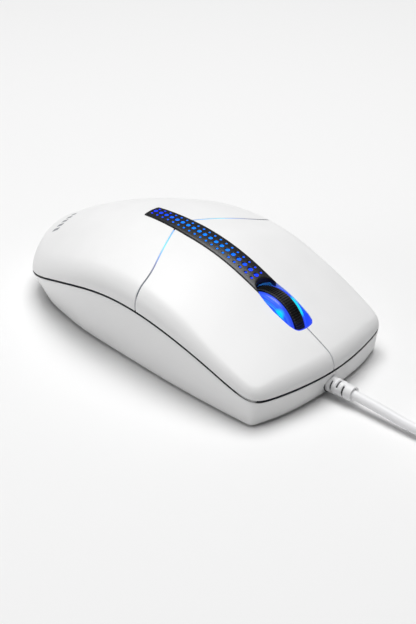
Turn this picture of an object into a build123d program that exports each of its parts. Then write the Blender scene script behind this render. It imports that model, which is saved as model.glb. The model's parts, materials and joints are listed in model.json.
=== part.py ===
from build123d import *
from math import floor, pi, radians, sqrt, tan
import os

# Corded three-button computer mouse. Millimetres, +Z up, +Y towards the cord, +X to the user's right.
# The origin is on the desk, at the centre of the mouse's footprint.

# ---- driving dimensions: the body -------------------------------------------------------------
# Each outline is a closed smooth curve pulled along by handles. The right half's handles run from the
# rear to the front, and the left half mirrors them.
BELT = [(11.9, -59.5), (24.4, -47.0), (28.8, -29.6), (30.8, -19.1), (30.9, -1.3),
        (32.1, 26.6), (30.7, 51.3), (28.3, 53.4), (26.9, 55.3), (7.7, 59.2)]
FOOTPRINT = [(11.3, -54.9), (20.8, -43.8), (23.0, -33.2), (26.0, -21.2), (27.4, 0.2),
             (29.2, 25.4), (28.9, 47.6), (28.8, 52.6), (27.0, 52.9), (14.8, 57.0)]
# Heights along the length, as handles 20 mm apart, from 80 mm behind the middle to 80 mm ahead.
SEAM = [8.8, 5.1, 12.0, 19.7, 22.7, 20.7, 14.9, 4.7, 17.4]
CROWN = [-0.7, 16.8, 28.3, 35.0, 35.5, 32.6, 22.8, 13.5, -2.9]
HANDLE_START, HANDLE_STEP = -80.0, 20.0
CROSS_CURVE = 0.005          # the top falls by this much times x squared
CROSS_CURVE_REAR = 0.024     # and by up to this much more at the tail
HALF_LENGTH = 59.0
SHOULDER = 4.2               # radius of the top shell's rolled edge
WALL = 2.0
BASE_Z = 0.6                 # underside of the base, held off the desk by the feet
FLOOR_TOP = 2.4
SEAM_GAP = 0.3               # half of the groove between the top shell and the base
GROOVE_DEPTH = 0.7

# ---- driving dimensions: the splits in the top shell -------------------------------------------
SPLIT_Y = -3.2               # where the two split lines would meet on the centre line
SPLIT_SLOPE = 0.47           # they run forwards as they run outwards
SPLIT_BEND, BEND_FROM = 0.02, 20.0  # and bend back from this x on
SPLIT_HALF = 0.25
CENTRE_HALF = 0.2            # half the gap between the two buttons ahead of the wheel
STRIP_REAR, STRIP_TIP, STRIP_NOTCH = -15.1, 33.0, 29.9
STRIP_HALF_REAR, STRIP_HALF, STRIP_TAPER_END = 3.15, 4.05, 4.0
STRIP_PROUD, STRIP_CURVE, STRIP_THICK = 0.3, 0.35, 1.2
SLOT_REAR_HALF, SLOT_HALF, SLOT_FRONT_HALF = 4.1, 4.95, 4.5
SLOT_MIDDLE, SLOT_CORNER, SLOT_FRONT = 39.5, 45.4, 48.4
HOLE_STATIONS, HOLE_FIRST, HOLE_LAST = 19, -13.2, 28.4
HOLE_ROW, HOLE_BIG, HOLE_SMALL = 2.05, 0.6, 0.34

# ---- driving dimensions: buttons and wheel -----------------------------------------------------
HINGE_Y, HINGE_Z, HINGE_R = -4.0, 27.0, 1.2
HINGE_X = (9.0, 21.0)
BEARING_CLEAR = 0.05
SWITCH_X, SWITCH_Y, PLUNGER_Y = 22.4, 40.0, 41.0
WHEEL_Y, WHEEL_Z, WHEEL_R = 35.05, 14.95, 11.6
TYRE_R, TYRE_HALF, CORE_HALF, FLANGE_R = 9.4, 1.95, 3.7, 10.9
AXLE_R = 1.5
ENCODER_TEETH, TYRE_GROOVES = 16, 36
CRADLE_Y, CRADLE_Z = 17.5, 13.0
CRADLE_IN, CRADLE_OUT = 5.0, 7.0
MIDDLE_X, MIDDLE_Y, MIDDLE_PLUNGER_Y = 15.6, 36.0, 38.5

# ---- driving dimensions: inside ----------------------------------------------------------------
BOARD_Z, BOARD_THICK = 5.0, 1.6
BOARD_TOP = BOARD_Z + BOARD_THICK
SWITCH_SIZE = (5.8, 12.8, 6.5)
PLUNGER_RISE = 0.8
BOARD_POSTS = [(15.0, -26.0), (22.4, 16.4), (22.0, 48.6)]
BOARD_SCREWS = [(15.0, -26.0), (-15.0, -26.0)]
CASE_SCREWS = [(22.0, -14.0), (-22.0, -14.0), (0.0, -45.0)]
SENSOR_Y = -8.0
FOOT_WIDTH = 4.6

# ---- driving dimensions: the cord --------------------------------------------------------------
CORD_D = 3.0
EXIT_Z = 3.9
BOOT_START, BOOT_END = 57.6, 66.7
BOOT_R, BOOT_TIP_R = 2.6, 2.2
COIL_X, COIL_Y, COIL_LIFT = -22.0, 109.0, 0.6
COIL_INNER, COIL_PITCH, COIL_COLUMNS, COIL_LAYERS = 15.0, 3.05, 3, 4
PLUG_X, PLUG_REAR, PLUG_Z = -49.0, 96.0, 4.0

CORD_ROUTE = [(0, 54.2, 3.9), (0, 71, 3.9), (0.3, 88.5, 2.4), (-0.9, 105, 2.1)]
TAIL_ROUTE = [(-1.0, 103.0, 11.0), (-0.5, 115.0, 10.9), (-4.4, 126.6, 9.8), (-14.9, 133.6, 8.2),
              (-28.2, 133.8, 6.6), (-40.2, 127.6, 5.0), (-47.4, 117.6, 4.1), (-49.0, 106.6, 4.0),
              (-49.0, 96.0, 4.0)]


# ---- curves and heights ------------------------------------------------------------------------
def blend(t):
    """The four weights of a uniform cubic B-spline."""
    return ((1 - t) ** 3 / 6, (3 * t ** 3 - 6 * t ** 2 + 4) / 6,
            (-3 * t ** 3 + 3 * t ** 2 + 3 * t + 1) / 6, t ** 3 / 6)


def smooth_loop(handles, steps=2):
    """Points of the closed outline, anticlockwise from the rear centre."""
    ring = handles + [(-x, y) for x, y in reversed(handles)]
    points = []
    for i in range(len(ring)):
        near = [ring[(i + j - 1) % len(ring)] for j in range(4)]
        for k in range(steps):
            weights = blend(k / steps)
            points.append((sum(w * p[0] for w, p in zip(weights, near)),
                           sum(w * p[1] for w, p in zip(weights, near))))
    start = len(points) - steps + steps // 2
    return points[start:] + points[:start]


def inset(points, depth):
    """The outline moved inwards by depth, along its own normals."""
    moved = []
    for i, (x, y) in enumerate(points):
        before, after = points[i - 1], points[(i + 1) % len(points)]
        run_x, run_y = after[0] - before[0], after[1] - before[1]
        run = sqrt(run_x ** 2 + run_y ** 2)
        moved.append((x - depth * run_y / run, y + depth * run_x / run))
    return moved


def height(handles, y):
    """Height of a side-view curve at y."""
    u = (y - HANDLE_START) / HANDLE_STEP
    i = max(1, min(int(floor(u)), len(handles) - 3))
    return sum(w * handles[i - 1 + j] for j, w in enumerate(blend(u - i)))


def crown_height(x, y):
    tail = CROSS_CURVE_REAR * ((HALF_LENGTH - y) / (2 * HALF_LENGTH)) ** 4
    return height(CROWN, y) - (CROSS_CURVE + tail) * x * x


def split_y(x):
    return SPLIT_Y + SPLIT_SLOPE * abs(x) - SPLIT_BEND * max(0, abs(x) - BEND_FROM) ** 2


def strip_half(y):
    share = min(1, max(0, (y - STRIP_REAR) / (STRIP_TAPER_END - STRIP_REAR)))
    return STRIP_HALF_REAR + (STRIP_HALF - STRIP_HALF_REAR) * share


# ---- solids that other solids are cut from ------------------------------------------------------
def surface(height_of, half_x, y_from, y_to, columns, rows):
    """A smooth face over a rectangle of the plan, at the height that height_of gives."""
    xs = [half_x * (2 * i / columns - 1) for i in range(columns + 1)]
    ys = [y_from + (y_to - y_from) * j / rows for j in range(rows + 1)]
    grid = [[Vector(x, y, height_of(x, y)) for x in xs] for y in ys]
    return Face.make_surface_from_array_of_points(grid, tol=0.01)


CROWN_FACE = surface(crown_height, 40, -66, 66, 8, 22)


def crown_face(drop):
    return CROWN_FACE.moved(Location((0, 0, -drop)))


def above_crown(drop):
    return extrude(crown_face(drop), 60, (0, 0, 1))


def under_crown(drop):
    return extrude(crown_face(drop), 60, (0, 0, -1))


def prism(points, z_from, z_to):
    """A flat outline with straight sides, extruded upwards."""
    outline = Polyline(*[(x, y, z_from) for x, y in points], close=True)
    return extrude(make_face(outline), z_to - z_from, (0, 0, 1))


def round_prism(points, z_from, z_to):
    """The same for a smooth closed outline."""
    outline = Edge.make_spline([Vector(x, y, z_from) for x, y in points], periodic=True)
    return extrude(Face(Wire([outline])), z_to - z_from, (0, 0, 1))


def dome(depth):
    """Everything under the top shell's skin, moved inwards by depth."""
    return round_prism(inset(smooth_loop(BELT), depth), 0, 45) - above_crown(depth)


def rolled(body):
    """The body with its top edge rolled over to the shoulder's radius."""
    rim = [edge for edge in body.edges() if edge.bounding_box().min.Z > 3]
    return fillet(rim, SHOULDER)


def under_seam(lift):
    """Everything lower than the seam line moved up by lift."""
    ys = [-66 + 4 * i for i in range(34)]
    line = Spline(*[(-60, y, height(SEAM, y) + lift) for y in ys])
    ends = Polyline(line @ 1, (-60, ys[-1], -20), (-60, ys[0], -20), line @ 0)
    return extrude(make_face(line + ends), 120, (1, 0, 0))


def skirt(low, low_z, high, reach):
    """A solid whose side walls are straight lines from low, at low_z, through high on the seam."""
    foot = [Vector(x, y, low_z) for x, y in low]
    seam = [Vector(x, y, height(SEAM, y)) for x, y in high]
    top = [a + (b - a) * reach for a, b in zip(foot, seam)]
    half = len(foot) // 2
    low_right, low_left, top_right, top_left = [
        Edge.make_spline(points)
        for points in (foot[:half + 1], (foot[half:] + foot[:1])[::-1],
                       top[:half + 1], (top[half:] + top[:1])[::-1])]
    pairs = [(low_right, top_right), (low_left, top_left), (low_right, low_left), (top_right, top_left)]
    return Solid(Shell([Face.make_surface_from_curves(a, b) for a, b in pairs]))


def cylinder_x(x_from, x_to, y, z, radius):
    return Plane(origin=(x_from, y, z), z_dir=(1, 0, 0)) * Cylinder(
        radius, x_to - x_from, align=(Align.CENTER, Align.CENTER, Align.MIN))


def cylinder_y(y_from, y_to, x, z, radius):
    return Plane(origin=(x, y_from, z), z_dir=(0, 1, 0)) * Cylinder(
        radius, y_to - y_from, align=(Align.CENTER, Align.CENTER, Align.MIN))


def cylinder_z(x, y, z_from, z_to, radius):
    return Pos(x, y, z_from) * Cylinder(
        radius, z_to - z_from, align=(Align.CENTER, Align.CENTER, Align.MIN))


def block(x_from, x_to, y_from, y_to, z_from, z_to):
    size = (x_to - x_from, y_to - y_from, z_to - z_from)
    return Pos(x_from, y_from, z_from) * Box(*size, align=(Align.MIN, Align.MIN, Align.MIN))


# ---- regions of the plan -----------------------------------------------------------------------
def strip_plan(clear, notch):
    """The strip's outline, grown by clear; its front end is an arch round the wheel if notch."""
    rear, tip = STRIP_REAR - clear, STRIP_TIP
    half_rear, half = STRIP_HALF_REAR + clear, STRIP_HALF + clear
    sides = Polyline((-half, tip), (-half, STRIP_TAPER_END), (-half_rear, rear),
                     (half_rear, rear), (half, STRIP_TAPER_END), (half, tip))
    front = ThreePointArc((half, tip), (0, STRIP_NOTCH), (-half, tip)) if notch else \
        Line((half, tip), (-half, tip))
    return extrude(make_face(sides + front), 60)


def slot_plan():
    """The opening for the wheel: bowed sides and a rounded front end."""
    nose = 2.2
    right = [(SLOT_REAR_HALF, STRIP_NOTCH - 4), (SLOT_REAR_HALF, STRIP_TIP), (SLOT_HALF, SLOT_MIDDLE),
             (SLOT_FRONT_HALF, SLOT_CORNER), (3.9, 47.2), (nose, SLOT_FRONT - 0.2)]
    left = [(-x, y) for x, y in right]
    edge = Line(left[0], right[0]) + Line(right[0], right[1]) + ThreePointArc(*right[1:4])
    edge += ThreePointArc(*right[3:6]) + ThreePointArc(right[5], (0, SLOT_FRONT), left[5])
    edge += ThreePointArc(*left[5:2:-1]) + ThreePointArc(*left[3:0:-1]) + Line(left[1], left[0])
    return extrude(make_face(edge), 60)


def button_plan(gap):
    """Where the right button lies: ahead of the split and right of the centre line."""
    far = 36
    rear = [(x, split_y(x) + gap) for x in (CENTRE_HALF, BEND_FROM, 24, 28, 32, far)]
    return prism(rear + [(far, 70), (CENTRE_HALF, 70)], 0, 60)


def mirror_left(solid):
    return mirror(solid, Plane.YZ)


# ---- the shell ---------------------------------------------------------------------------------
SKIN = rolled(dome(0)) - dome(WALL)
MIDDLE = under_crown(WALL / 2)   # ribs and posts end inside the skin, half way through it


def base_shell():
    outline, footprint = smooth_loop(BELT), smooth_loop(FOOTPRINT)
    inner_belt = inset(outline, WALL)
    inner_foot = [(i[0] + f[0] - b[0], i[1] + f[1] - b[1])
                  for i, f, b in zip(inner_belt, footprint, outline)]
    shell = skirt(footprint, BASE_Z, outline, 1.12) & under_seam(-SEAM_GAP)
    shell -= skirt(inner_foot, FLOOR_TOP, inner_belt, 1.3)
    for x, y in BOARD_POSTS:
        for side in (1, -1):
            shell += cylinder_z(side * x, y, FLOOR_TOP - 0.4, BOARD_Z, 2.3)
    for x, y in CASE_SCREWS:
        shell += cylinder_z(x, y, BASE_Z + 0.5, 6, 3.4)
    for x_from in (7.6, -10.2):
        post = block(x_from, x_from + 2.6, CRADLE_Y - 2.7, CRADLE_Y + 2.7, FLOOR_TOP - 0.4, CRADLE_Z + 2.6)
        shell += post - cylinder_x(x_from - 1, x_from + 4, CRADLE_Y, CRADLE_Z, AXLE_R + BEARING_CLEAR)
    for x, y in CASE_SCREWS:
        shell -= cylinder_z(x, y, 0, 3.2, 2.9) + cylinder_z(x, y, 3, 7, 1.5)
    for x, y in BOARD_SCREWS:
        shell -= cylinder_z(x, y, FLOOR_TOP, 6, 0.9)
    shell -= block(-3.5, 3.5, SENSOR_Y - 4.5, SENSOR_Y + 4.5, 0, FLOOR_TOP + 1)
    return shell - strain_relief_blank()


def palm_cover():
    cover = SKIN - under_seam(-SEAM_GAP)
    outline = smooth_loop(BELT)
    rim = round_prism(inset(outline, -1), 0, 40) - round_prism(inset(outline, GROOVE_DEPTH), 0, 40)
    cover -= rim & under_seam(SEAM_GAP)
    cover -= button_plan(-SPLIT_HALF) + mirror_left(button_plan(-SPLIT_HALF))
    cover -= block(-1, 1, split_y(0) - SPLIT_HALF, 70, 0, 60)
    bosses = [cylinder_z(x, y, 6, 40, 3.2) for x, y in CASE_SCREWS]
    bearings = [block(s - 3, s + 3, HINGE_Y - 2.2, HINGE_Y + 2.2, HINGE_Z - 2.2, 40) for s in (15, -15)]
    for rib in bosses + bearings:
        cover += rib & MIDDLE
    for x_from in (11, -19):
        cover -= cylinder_x(x_from, x_from + 8, HINGE_Y, HINGE_Z, HINGE_R + BEARING_CLEAR)
    for x, y in CASE_SCREWS:
        cover -= cylinder_z(x, y, 5, 16, 1.1)
    return cover - strip_plan(0.1, False)


def right_button():
    button = (SKIN - under_seam(SEAM_GAP)) & button_plan(SPLIT_HALF)
    rabbet = prism([(3, split_y(3) - 1), (18, split_y(18) - 1), (18, split_y(18) + 1.9),
                    (3, split_y(3) + 1.9)], 0, 60)
    button -= rabbet & under_crown(WALL - 0.5)
    button -= strip_plan(0.15, False)
    button -= slot_plan()
    arms = cylinder_x(*HINGE_X, HINGE_Y, HINGE_Z, HINGE_R)
    for x, y in ((HINGE_X[0], 4.8), (HINGE_X[1] - 2, 9.8)):
        arms += block(x, x + 2, HINGE_Y - HINGE_R, y + 2.4, HINGE_Z - HINGE_R, HINGE_Z + HINGE_R)
        arms += block(x, x + 2, y, y + 2.4, HINGE_Z - HINGE_R, 40) & MIDDLE
    plunger_top = BOARD_TOP + SWITCH_SIZE[2] + PLUNGER_RISE
    post = cylinder_z(SWITCH_X, PLUNGER_Y, plunger_top + 0.05, 40, 1.6) & MIDDLE
    return button + arms + post


# ---- the lit spine -----------------------------------------------------------------------------
def strip_height(x, y):
    return crown_height(x, y) + STRIP_PROUD + STRIP_CURVE * (1 - (x / STRIP_HALF) ** 2)


STRIP_FACE = surface(strip_height, 7, -22, 38, 6, 10)


def under_strip(drop, thick):
    return extrude(STRIP_FACE.moved(Location((0, 0, -drop))), thick, (0, 0, -1))


def spine_strip():
    strip = under_strip(0, STRIP_THICK) & strip_plan(0, True)
    step = (HOLE_LAST - HOLE_FIRST) / (HOLE_STATIONS - 1)
    holes = []
    for i in range(HOLE_STATIONS):
        y = HOLE_FIRST + i * step
        row = HOLE_ROW * strip_half(y) / STRIP_HALF
        holes += [cylinder_z(0, y, 10, 40, HOLE_BIG)]
        holes += [cylinder_z(side * row, y, 10, 40, HOLE_SMALL) for side in (1, -1)]
    return strip - holes


def spine_light_guide():
    bar = under_strip(STRIP_THICK, 1.8) & block(-2.8, 2.8, STRIP_REAR, 27.6, 0, 60)
    stem = block(-2, 2, 5, 9, 12.2, 40) & under_crown(2.0)
    flange = (under_crown(WALL) - under_crown(WALL + 1.4)) & block(-6, 6, -17.5, -5, 0, 60)
    return bar + stem + flange


def right_seam_guide():
    plan = prism([(6.4, split_y(6.4) - 1.8), (17, split_y(17) - 1.8), (17, split_y(17) + 1.3),
                  (6.4, split_y(6.4) + 1.3)], 0, 60)
    return (under_crown(WALL) - under_crown(WALL + 1.2)) & plan


# ---- the wheel ---------------------------------------------------------------------------------
def ring_x(half, outer, inner):
    ring = cylinder_x(-half, half, WHEEL_Y, WHEEL_Z, outer)
    return ring - cylinder_x(-half - 1, half + 1, WHEEL_Y, WHEEL_Z, inner)


def wheel_core():
    core = cylinder_x(-CORE_HALF, CORE_HALF, WHEEL_Y, WHEEL_Z, FLANGE_R)
    core -= ring_x(TYRE_HALF, FLANGE_R + 1, TYRE_R)
    for x_from in (-CORE_HALF - 1, 0.8):
        dish = cylinder_x(x_from, x_from + CORE_HALF + 0.2, WHEEL_Y, WHEEL_Z, 8.4)
        core -= dish - cylinder_x(x_from - 1, x_from + 6, WHEEL_Y, WHEEL_Z, 3.2)
    tooth = block(-3, 3, WHEEL_Y - 0.5, WHEEL_Y + 0.5, WHEEL_Z + 5.4, WHEEL_Z + 7.6)
    axis = Axis((0, WHEEL_Y, WHEEL_Z), (1, 0, 0))
    core -= [tooth.rotate(axis, 360 / ENCODER_TEETH * i) for i in range(ENCODER_TEETH)]
    return core + cylinder_x(-9, 9, WHEEL_Y, WHEEL_Z, AXLE_R)


def wheel_tyre():
    tyre = ring_x(TYRE_HALF, WHEEL_R, TYRE_R)
    groove = block(-3, 3, WHEEL_Y - 0.22, WHEEL_Y + 0.22, WHEEL_Z + WHEEL_R - 0.45, WHEEL_Z + 13)
    axis = Axis((0, WHEEL_Y, WHEEL_Z), (1, 0, 0))
    return tyre - [groove.rotate(axis, 360 / TYRE_GROOVES * i) for i in range(TYRE_GROOVES)]


def wheel_cradle():
    low, high = CRADLE_Z - 1.4, CRADLE_Z + 4.6
    cradle = block(-CRADLE_OUT, CRADLE_OUT, CRADLE_Y - 1.9, CRADLE_Y + 1.9, low, low + 3.2)
    for x_from in (-CRADLE_OUT, CRADLE_IN):
        cradle += block(x_from, x_from + 2, CRADLE_Y - 1.9, MIDDLE_PLUNGER_Y + 1.6, low, high)
        cradle -= cylinder_x(x_from - 1, x_from + 3, WHEEL_Y, WHEEL_Z, AXLE_R + BEARING_CLEAR)
    cradle += cylinder_x(-10, 10, CRADLE_Y, CRADLE_Z, AXLE_R)
    top = BOARD_TOP + SWITCH_SIZE[2] + PLUNGER_RISE
    near, far = MIDDLE_PLUNGER_Y - 1.6, MIDDLE_PLUNGER_Y + 1.6
    return cradle + block(6, MIDDLE_X + 1.6, near, far, top + 0.05, top + 2.4)


# ---- the circuit board and what stands on it ----------------------------------------------------
def main_board():
    right = [(18.4, -30), (18.4, 10), (25.4, 13), (25.4, 49.5), (21.5, 53)]
    board = prism(right + [(-x, y) for x, y in reversed(right)], BOARD_Z, BOARD_TOP)
    board -= block(-12, 12, CRADLE_Y - 4, CRADLE_Y + 4, 0, 10)
    board -= block(-4.6, 4.6, CRADLE_Y + 3, WHEEL_Y + 13, 0, 10)
    board -= block(-3.2, 3.2, SENSOR_Y - 3.6, SENSOR_Y + 3.6, 0, 10)
    for x, y in BOARD_SCREWS:
        board -= cylinder_z(x, y, 0, 10, 1.2)
    return board


def on_board(x, y, size):
    return Pos(x, y, BOARD_TOP) * Box(*size, align=(Align.CENTER, Align.CENTER, Align.MIN))


def switch_body(x, y, plunger_y):
    body = on_board(x, y, SWITCH_SIZE)
    body = chamfer(body.edges().filter_by(Axis.Z), 0.4)
    top = BOARD_TOP + SWITCH_SIZE[2]
    return body - block(x - 1.05, x + 1.05, plunger_y - 0.65, plunger_y + 0.65, top - 1.6, top + 1)


def plunger(x, plunger_y):
    top = BOARD_TOP + SWITCH_SIZE[2]
    return block(x - 1, x + 1, plunger_y - 0.6, plunger_y + 0.6, top - 0.9, top + PLUNGER_RISE)


def light_source(x, y, radius, tall):
    body = cylinder_z(x, y, BOARD_TOP, BOARD_TOP + tall - radius, radius)
    return body + Pos(x, y, BOARD_TOP + tall - radius) * Sphere(radius)


def sensor_lens():
    plate = block(-7, 7, SENSOR_Y - 8, SENSOR_Y + 6, FLOOR_TOP, BOARD_Z)
    return plate + cylinder_z(0, SENSOR_Y, 1.5, FLOOR_TOP, 2.6)


def screw(x, y, head_z, head_r, shank_r, length, up):
    """A pan-head screw. up is 1 where the shank points up, and -1 where it points down."""
    head = cylinder_z(x, y, min(head_z, head_z - 1.6 * up), max(head_z, head_z - 1.6 * up), head_r)
    shank = cylinder_z(x, y, min(head_z, head_z + length * up), max(head_z, head_z + length * up), shank_r)
    low = head_z - 1.6 * up
    drive = block(x - 0.35, x + 0.35, y - 1.2, y + 1.2, low - 0.7, low + 0.7)
    return head + shank - drive - drive.rotate(Axis((x, y, 0), (0, 0, 1)), 90)


def foot(x, y, long):
    return Pos(x, y, 0) * extrude(SlotOverall(long, FOOT_WIDTH), BASE_Z)


# ---- the cord ----------------------------------------------------------------------------------
def strain_relief_blank():
    boot = Plane(origin=(0, BOOT_START, EXIT_Z), z_dir=(0, 1, 0)) * Cone(
        BOOT_R, BOOT_TIP_R, BOOT_END - BOOT_START, align=(Align.CENTER, Align.CENTER, Align.MIN))
    neck = cylinder_y(55.4, BOOT_START, 0, EXIT_Z, 2.1)
    flange = cylinder_y(54.2, 55.4, 0, EXIT_Z, 2.7)
    return boot + neck + flange


def strain_relief():
    boot = strain_relief_blank()
    for i, y in enumerate((59.6, 61.7, 63.8)):
        ring = cylinder_y(y - 0.4, y + 0.4, 0, EXIT_Z, 4) - cylinder_y(y - 1, y + 1, 0, EXIT_Z, 1.9)
        if i % 2:
            boot -= ring - block(-5, 5, y - 1, y + 1, EXIT_Z - 0.8, EXIT_Z + 0.8)
        else:
            boot -= ring - block(-0.8, 0.8, y - 1, y + 1, 0, 10)
    return boot - cylinder_y(50, 70, 0, EXIT_Z, CORD_D / 2)


def arc_radii(route):
    """The largest arc that each corner's two runs allow, at 0.45 of the shorter run."""
    points = [Vector(*p) for p in route]
    radii = []
    for a, b, c in zip(points, points[1:], points[2:]):
        turn = radians((b - a).get_angle(c - b))
        radii.append(0.45 * min((b - a).length, (c - b).length) / tan(turn / 2))
    return radii


def tube(route):
    radii = arc_radii(route)
    path = FilletPolyline(*route, radius=radii)
    start = Plane(origin=route[0], z_dir=Vector(*route[1]) - Vector(*route[0]))
    solid = sweep(start * Circle(CORD_D / 2), path=path)
    section = pi * CORD_D ** 2 / 4
    print("tube", round(path.length, 1), "mm, radii", [round(r, 1) for r in radii],
          "volume", round(solid.volume, 1), "section x length", round(section * path.length, 1))
    return solid


COIL_INNER_R = COIL_INNER - CORD_D / 2
COIL_OUTER_R = COIL_INNER + (COIL_COLUMNS - 1) * COIL_PITCH + CORD_D / 2
COIL_TOP = COIL_LIFT + (COIL_LAYERS - 1) * COIL_PITCH + CORD_D


def tie_block(clear):
    """A block round the bundle's near side, standing clear of it by clear."""
    return block(COIL_X - 3, COIL_X + 3, COIL_Y - COIL_OUTER_R - clear, COIL_Y - COIL_INNER_R + clear,
                 COIL_LIFT - clear, COIL_TOP + clear)


def coil_ring():
    ring = cylinder_z(COIL_X, COIL_Y, COIL_LIFT, COIL_TOP, COIL_OUTER_R)
    return ring - cylinder_z(COIL_X, COIL_Y, 0, 30, COIL_INNER_R)


def coil_tie():
    return tie_block(COIL_LIFT) - tie_block(0) - coil_ring()


def plug_overmould():
    body = block(PLUG_X - 7.8, PLUG_X + 7.8, PLUG_REAR - 20, PLUG_REAR, 0, 2 * PLUG_Z)
    body = fillet(body.edges().filter_by(Axis.Y), 1.6)
    taper = Plane(origin=(PLUG_X, PLUG_REAR, PLUG_Z), z_dir=(0, 1, 0)) * Cone(
        3.2, 2.1, 6, align=(Align.CENTER, Align.CENTER, Align.MIN))
    return body + taper - cylinder_y(PLUG_REAR, PLUG_REAR + 8, PLUG_X, PLUG_Z, CORD_D / 2)


def plug_shell():
    front, rear = PLUG_REAR - 34, PLUG_REAR - 20
    shell = block(PLUG_X - 6, PLUG_X + 6, front, rear, PLUG_Z - 2.25, PLUG_Z + 2.25)
    shell -= block(PLUG_X - 5.65, PLUG_X + 5.65, front - 1, rear, PLUG_Z - 1.9, PLUG_Z + 1.9)
    for x in (PLUG_X - 3, PLUG_X + 3):
        shell -= block(x - 1.2, x + 1.2, front + 5.2, front + 7.6, 0, 10)
    return shell


def plug_tongue():
    return block(PLUG_X - 5.65, PLUG_X + 5.65, PLUG_REAR - 33, PLUG_REAR - 20, PLUG_Z - 1.9, PLUG_Z - 0.1)


def plug_contacts():
    z = PLUG_Z - 0.1
    return [block(PLUG_X + x - 0.5, PLUG_X + x + 0.5, PLUG_REAR - 32, PLUG_REAR - 24, z, z + 0.15)
            for x in (-3.5, -1, 1, 3.5)]


# ---- writing the files -------------------------------------------------------------------------
def save(name, solids):
    """Write one node: a solid, or a list of separate identical solids."""
    pieces = solids if isinstance(solids, list) else [solids]
    found = [solid for piece in pieces for solid in piece.solids()]
    whole = found[0] if len(found) == 1 else Compound(children=found)
    export_step(whole, f"parts/{name}.step")
    print(name, len(found), round(sum(solid.volume for solid in found), 1))


def main():
    os.makedirs("parts", exist_ok=True)
    save("base_shell", base_shell())
    save("palm_cover", palm_cover())
    button = right_button()
    save("right_button", button)
    save("left_button", mirror_left(button))
    save("spine_strip", spine_strip())
    save("spine_light_guide", spine_light_guide())
    guide = right_seam_guide()
    save("right_seam_guide", guide)
    save("left_seam_guide", mirror_left(guide))
    save("wheel_core", wheel_core())
    save("wheel_tyre", wheel_tyre())
    save("wheel_cradle", wheel_cradle())
    save("main_board", main_board())
    for name, x, y, plunger_y in (("right", SWITCH_X, SWITCH_Y, PLUNGER_Y),
                                  ("left", -SWITCH_X, SWITCH_Y, PLUNGER_Y),
                                  ("middle", MIDDLE_X, MIDDLE_Y, MIDDLE_PLUNGER_Y)):
        save(f"{name}_switch", switch_body(x, y, plunger_y))
        save(f"{name}_plunger", plunger(x, plunger_y))
    save("encoder_emitter", on_board(-6.5, WHEEL_Y, (3, 4.4, 3.8)))
    save("encoder_sensor", on_board(6.5, WHEEL_Y, (3, 4.4, 3.8)))
    save("wheel_light", on_board(0, 50.6, (3, 2.4, 3)))
    save("spine_light", light_source(0, 7, 1.5, 5))
    save("sensor_light", light_source(0, -21, 2.4, 6))
    save("optical_sensor", on_board(0, SENSOR_Y, (9.1, 12.8, 3.6)))
    save("sensor_lens", sensor_lens())
    save("controller_chip", on_board(12, -8, (7.5, 10.3, 2.4)))
    save("capacitor", cylinder_z(-12, -8, BOARD_TOP, BOARD_TOP + 7, 2.5))
    save("crystal", on_board(-12, 5, (4.4, 10.2, 3.4)))
    save("lead_connector", block(-4.4, 4.4, 49.6, 54.2, FLOOR_TOP + 0.1, BOARD_Z))
    save("board_screws", [screw(x, y, BOARD_TOP, 2.2, 0.9, 4.2, -1) for x, y in BOARD_SCREWS])
    save("case_screws", [screw(x, y, 3.2, 2.6, 1.1, 11, 1) for x, y in CASE_SCREWS])
    for name, x, y, long in (("front_right", 17.5, 47, 15), ("front_left", -17.5, 47, 15),
                             ("rear_right", 11, -46.5, 11), ("rear_left", -11, -46.5, 11)):
        save(f"{name}_foot", foot(x, y, long))
    save("strain_relief", strain_relief())
    lead, tail = tube(CORD_ROUTE), tube(TAIL_ROUTE)
    save("cord_lead", lead)
    save("cord_tail", tail)
    save("cord_coil", coil_ring() - lead - tail)
    save("coil_tie", coil_tie())
    save("plug_overmould", plug_overmould())
    save("plug_shell", plug_shell())
    save("plug_tongue", plug_tongue())
    save("plug_contacts", plug_contacts())


main()
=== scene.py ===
# %% [markdown]
# # A corded computer mouse, lit from inside
#
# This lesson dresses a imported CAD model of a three-button computer mouse. The CAD gives every part its
# place, its size and its motion. Here each surface that shows gets a smooth skin, worked out as a
# formula over a grid of numbers, and each part gets a finish made from shader nodes.

import json
import bmesh
import bpy
import numpy as np
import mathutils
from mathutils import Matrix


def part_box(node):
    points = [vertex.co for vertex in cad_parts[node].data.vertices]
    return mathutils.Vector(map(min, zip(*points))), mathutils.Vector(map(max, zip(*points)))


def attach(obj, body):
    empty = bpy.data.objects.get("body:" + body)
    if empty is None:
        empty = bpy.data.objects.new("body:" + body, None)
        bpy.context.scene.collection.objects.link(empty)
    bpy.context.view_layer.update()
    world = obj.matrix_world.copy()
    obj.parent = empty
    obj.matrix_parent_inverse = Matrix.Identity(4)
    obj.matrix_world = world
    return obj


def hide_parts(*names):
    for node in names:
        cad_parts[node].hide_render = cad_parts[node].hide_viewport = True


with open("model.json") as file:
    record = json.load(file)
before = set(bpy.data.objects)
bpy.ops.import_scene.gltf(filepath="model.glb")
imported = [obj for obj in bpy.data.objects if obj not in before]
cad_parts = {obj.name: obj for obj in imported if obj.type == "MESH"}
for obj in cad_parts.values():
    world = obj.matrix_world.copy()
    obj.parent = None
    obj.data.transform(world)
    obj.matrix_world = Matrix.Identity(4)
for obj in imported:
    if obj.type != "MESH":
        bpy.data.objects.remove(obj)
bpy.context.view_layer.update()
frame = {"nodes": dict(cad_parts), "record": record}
MM = 0.001
PI = np.pi


def box_mm(node):
    """Lowest and highest corner of a CAD node, in millimetres."""
    return [np.array(corner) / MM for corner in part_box(node)]


# %% [markdown]
# ## The camera
#
# A camera is a place, a direction and a lens. It looks down on the mouse from its front right corner.
# The place is worked out from a compass angle, a height angle and a distance to a point inside the
# mouse, because those three are what somebody holding a camera would change.

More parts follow.
